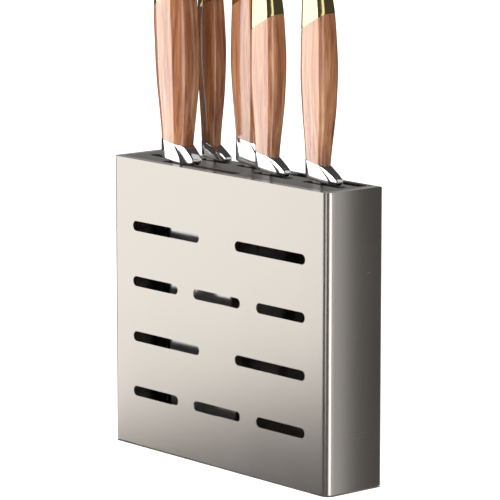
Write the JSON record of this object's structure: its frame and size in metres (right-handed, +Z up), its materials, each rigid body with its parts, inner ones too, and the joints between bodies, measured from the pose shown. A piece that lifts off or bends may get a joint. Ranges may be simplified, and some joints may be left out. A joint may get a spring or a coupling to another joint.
{
  "type": "meat cleaver and knife rack set",
  "caption": "Upright sheet-steel knife rack with a slotted front and top, holding a wide meat cleaver and companion knives with bolstered wooden handles.",
  "frame": {"origin": "centre of the rack's footprint, on the surface it stands on", "axes": "+Z up, +X along the rack's width, the slotted front faces -Y; blade spines point to -X, edges to +X"},
  "size_m": [0.24, 0.052, 0.3696],
  "materials": {
    "satin_steel": "fine satin, warm champagne tone, slightly worn at the edges",
    "screw_steel": "turned",
    "blade_steel": "ground and mirror-brushed across the blade",
    "bolster_steel": "polished",
    "gilt_steel": "polished pale gilt",
    "handle_wood": "reddish brown, streaky grain, polished",
    "guide_plastic": "matt black, moulded",
    "foot_rubber": "matt black"
  },
  "bodies": {
    "rack": {"outer_shell": "satin_steel", "back_panel": "satin_steel", "back_screw_1": "screw_steel", "back_screw_2": "screw_steel", "back_screw_3": "screw_steel", "back_screw_4": "screw_steel", "back_screw_5": "screw_steel", "back_screw_6": "screw_steel", "top_plate": "satin_steel", "blade_guide": "guide_plastic", "base_panel": "satin_steel", "post_front_left": "guide_plastic", "foot_front_left": "foot_rubber", "post_front_right": "guide_plastic", "foot_front_right": "foot_rubber", "post_rear_left": "guide_plastic", "foot_rear_left": "foot_rubber", "post_rear_right": "guide_plastic", "foot_rear_right": "foot_rubber"},
    "cleaver": {"cleaver_blade": "blade_steel", "cleaver_bolster": "bolster_steel", "cleaver_grip": "handle_wood", "cleaver_cap": "gilt_steel"},
    "boning_knife": {"boning_knife_blade": "blade_steel", "boning_knife_bolster": "bolster_steel", "boning_knife_grip": "handle_wood", "boning_knife_cap": "gilt_steel"},
    "chef_knife": {"chef_knife_blade": "blade_steel", "chef_knife_bolster": "bolster_steel", "chef_knife_grip": "handle_wood", "chef_knife_cap": "gilt_steel"},
    "slicer": {"slicer_blade": "blade_steel", "slicer_bolster": "bolster_steel", "slicer_grip": "handle_wood", "slicer_cap": "gilt_steel"},
    "carving_knife": {"carving_knife_blade": "blade_steel", "carving_knife_bolster": "bolster_steel", "carving_knife_grip": "handle_wood", "carving_knife_cap": "gilt_steel"}
  },
  "joints": [
    {"name": "cleaver_lift", "type": "slide", "parent": "rack", "child": "cleaver", "axis": [0, 0, 1], "range_m": [0, 0.192]},
    {"name": "boning_knife_lift", "type": "slide", "parent": "rack", "child": "boning_knife", "axis": [0, 0, 1], "range_m": [0, 0.144]},
    {"name": "chef_knife_lift", "type": "slide", "parent": "rack", "child": "chef_knife", "axis": [0, 0, 1], "range_m": [0, 0.194]},
    {"name": "slicer_lift", "type": "slide", "parent": "rack", "child": "slicer", "axis": [0, 0, 1], "range_m": [0, 0.175]},
    {"name": "carving_knife_lift", "type": "slide", "parent": "rack", "child": "carving_knife", "axis": [0, 0, 1], "range_m": [0, 0.156]}
  ]
}
